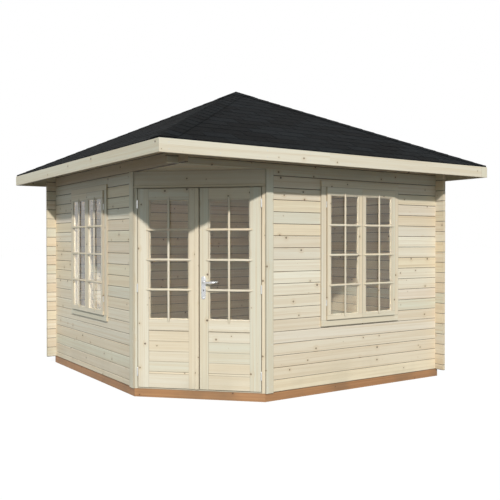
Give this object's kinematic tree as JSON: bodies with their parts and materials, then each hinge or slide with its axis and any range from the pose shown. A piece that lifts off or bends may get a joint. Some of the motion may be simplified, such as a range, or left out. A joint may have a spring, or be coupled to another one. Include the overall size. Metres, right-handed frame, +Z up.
{
  "type": "garden pavilion",
  "caption": "Log garden pavilion with a square plan, one corner cut off by an outward-opening glazed double door, a window beside it on either side and a pyramid roof.",
  "frame": {"origin": "on the ground under the roof's point, the middle of the square plan", "axes": "+Z up; X and Y run along the log walls; the cut corner with the door looks towards -X -Y, the right-hand window wall faces -Y and the left-hand one -X"},
  "size_m": [4.03, 4.03, 3.2834],
  "materials": {
    "pine": "planed, untreated",
    "floor_pine": "planed, untreated",
    "impregnated_wood": "brown impregnated, sawn",
    "window_glass": "clear",
    "zinc_steel": "zinc plated",
    "lever_metal": "satin",
    "bitumen_shingle": "mineral grit, matt"
  },
  "bodies": {
    "house": {"bearers": "impregnated_wood", "joists": "impregnated_wood", "floor_boards": "floor_pine", "right_wall_sill": "pine", "right_wall_near": "pine", "right_wall_far": "pine", "right_wall_top": "pine", "left_wall_sill": "pine", "left_wall_near": "pine", "left_wall_far": "pine", "left_wall_top": "pine", "rear_left_wall": "pine", "rear_right_wall": "pine", "right_jamb": "pine", "left_jamb": "pine", "door_head": "pine", "drip_rail": "pine", "threshold": "pine", "corner_trims": "pine", "porch_soffit": "pine", "right_casing": "pine", "right_lining": "pine", "right_sashes": "pine", "right_panes": "window_glass", "left_casing": "pine", "left_lining": "pine", "left_sashes": "pine", "left_panes": "window_glass", "jamb_hinges": "zinc_steel", "hip_rafters": "pine", "king_block": "pine", "roof_boards": "pine", "roof_shingles": "bitumen_shingle", "apex_cap": "bitumen_shingle", "fascias": "pine"},
    "right_leaf": {"right_leaf_frame": "pine", "right_leaf_panel": "pine", "right_leaf_glass": "window_glass", "right_leaf_hinges": "zinc_steel", "lever_plates": "lever_metal"},
    "left_leaf": {"left_leaf_frame": "pine", "left_leaf_panel": "pine", "left_leaf_glass": "window_glass", "left_leaf_hinges": "zinc_steel", "meeting_strip": "pine"},
    "lever": {"door_lever": "lever_metal"}
  },
  "joints": [
    {"name": "right_leaf_swing", "type": "hinge", "parent": "house", "child": "right_leaf", "pos_m": [-0.75541, -1.62232, 0.1], "axis": [0, 0, 1], "range_deg": [0, 150]},
    {"name": "left_leaf_swing", "type": "hinge", "parent": "house", "child": "left_leaf", "pos_m": [-1.62232, -0.75541, 0.1], "axis": [0, 0, -1], "range_deg": [0, 150]},
    {"name": "lever_turn", "type": "hinge", "parent": "right_leaf", "child": "lever", "pos_m": [-1.14715, -1.21785, 1.12], "axis": [0.7071, 0.7071, 0], "range_deg": [0, 45], "stiffness_Nm_per_rad": 0.6}
  ]
}
